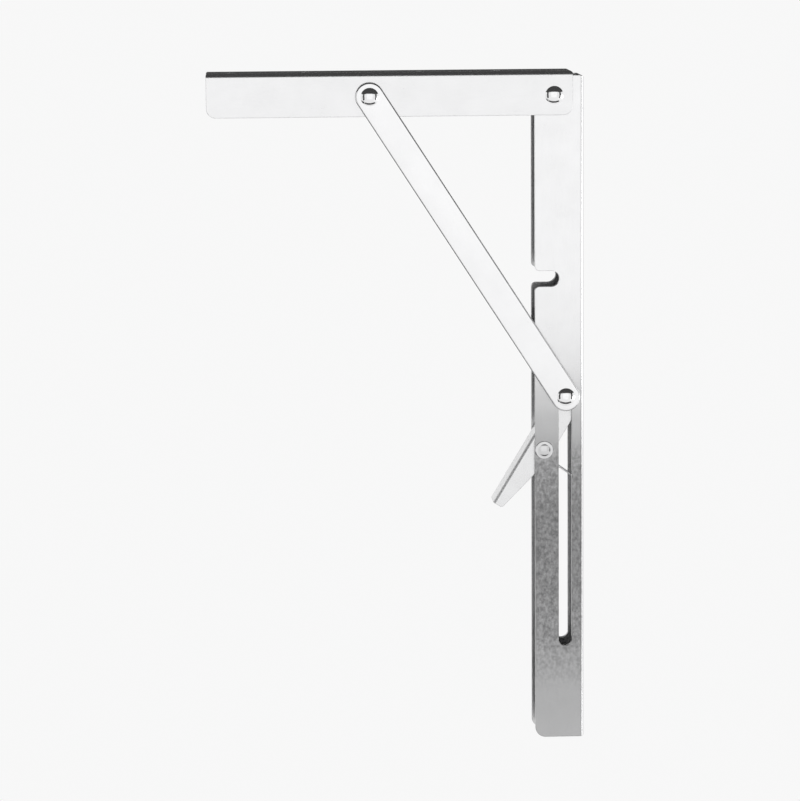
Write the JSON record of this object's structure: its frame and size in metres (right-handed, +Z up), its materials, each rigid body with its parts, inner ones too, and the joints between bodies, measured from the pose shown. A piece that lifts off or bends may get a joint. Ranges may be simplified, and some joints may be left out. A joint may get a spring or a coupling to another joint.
{
  "type": "folding drop leaf table bracket",
  "caption": "Folding support for a table leaf: wall channel, hinged arm, twin strut bars on a sliding pin, and a sprung release lever.",
  "frame": {"origin": "centre of the wall screw pattern, on the wall face of the long channel", "axes": "+X points into the wall, +Z up along the long channel, and Y across both channels, with the arm level towards -X"},
  "size_m": [0.1985, 0.0386, 0.3573],
  "materials": {
    "sheet": "satin stainless sheet",
    "bar": "satin stainless bar",
    "lever_sheet": "satin stainless sheet",
    "rivet": "polished stainless",
    "spring_wire": "drawn spring wire"
  },
  "bodies": {
    "channel": {"long_channel": "sheet", "slide_pin": "rivet", "lever_rivet": "rivet", "lever_washer_front": "rivet", "lever_washer_rear": "rivet", "lever_spring": "spring_wire"},
    "arm": {"short_arm": "sheet", "pivot_rivet": "rivet"},
    "strut": {"strut_front": "bar", "strut_rear": "bar", "strut_rivet": "rivet", "slide_head_front": "rivet", "slide_head_rear": "rivet", "slide_washer_front": "rivet", "slide_washer_rear": "rivet"},
    "lever": {"release_lever": "lever_sheet"}
  },
  "joints": [
    {"name": "arm_fold", "type": "hinge", "parent": "channel", "child": "arm", "pos_m": [-0.016, 0, 0.1673], "axis": [0, -1, 0], "range_deg": [0, 89]},
    {"name": "strut_swing", "type": "hinge", "parent": "arm", "child": "strut", "pos_m": [-0.113, 0, 0.1673], "axis": [0, -1, 0], "range_deg": [-119.51, 0]},
    {"name": "lever_press", "type": "hinge", "parent": "channel", "child": "lever", "pos_m": [-0.0213, 0, -0.02132], "axis": [0, -1, 0], "range_deg": [0, 22], "stiffness_Nm_per_rad": 0.08, "springref_deg": -20.05, "deforming": ["lever_spring"]}
  ],
  "couplings": [
    {"joint": "strut_swing", "follows": "arm_fold", "ratio": -1.3427}
  ]
}
